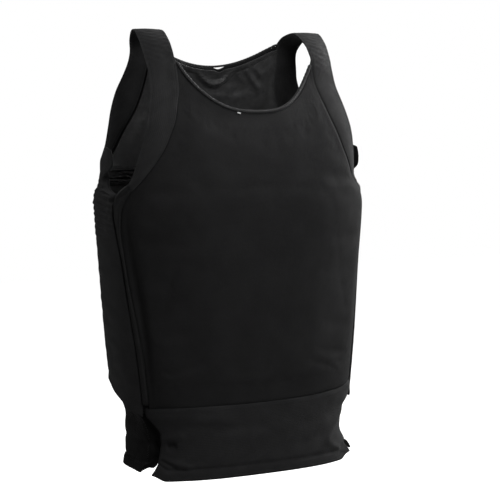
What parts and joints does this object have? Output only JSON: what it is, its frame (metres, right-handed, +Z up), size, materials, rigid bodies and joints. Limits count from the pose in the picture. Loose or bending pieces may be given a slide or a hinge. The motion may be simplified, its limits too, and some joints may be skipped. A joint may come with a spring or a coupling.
{
  "type": "soft armour vest",
  "caption": "Black concealable soft-armour vest in tank-top form: padded front and back, broad straps that run on as bands along the armholes, stretch sides, and a hip band open at each hip.",
  "frame": {"origin": "midway between the undersides of the two strap tops, where the vest rests on the shoulders", "axes": "+Z up the wearer's body, -Y is the way the wearer faces, +X is the wearer's left"},
  "size_m": [0.4172, 0.2144, 0.6418],
  "materials": {
    "carrier_cloth": "matte",
    "lining_cloth": "matte",
    "stretch_cloth": "matte",
    "strap_cloth": "matte",
    "binding_cloth": "matte",
    "tack_thread": "matte"
  },
  "bodies": {
    "root": {"front_panel": "carrier_cloth", "back_panel": "carrier_cloth", "back_lining": "lining_cloth", "side_panel_right": "stretch_cloth", "side_panel_left": "stretch_cloth", "shoulder_strap_right": "strap_cloth", "shoulder_strap_left": "strap_cloth", "neck_binding_front": "binding_cloth", "neck_binding_back": "binding_cloth", "front_edge_strip_right": "binding_cloth", "front_edge_strip_left": "binding_cloth", "front_waistband": "stretch_cloth", "back_waistband": "stretch_cloth", "neck_tack": "tack_thread"}
  },
  "joints": []
}
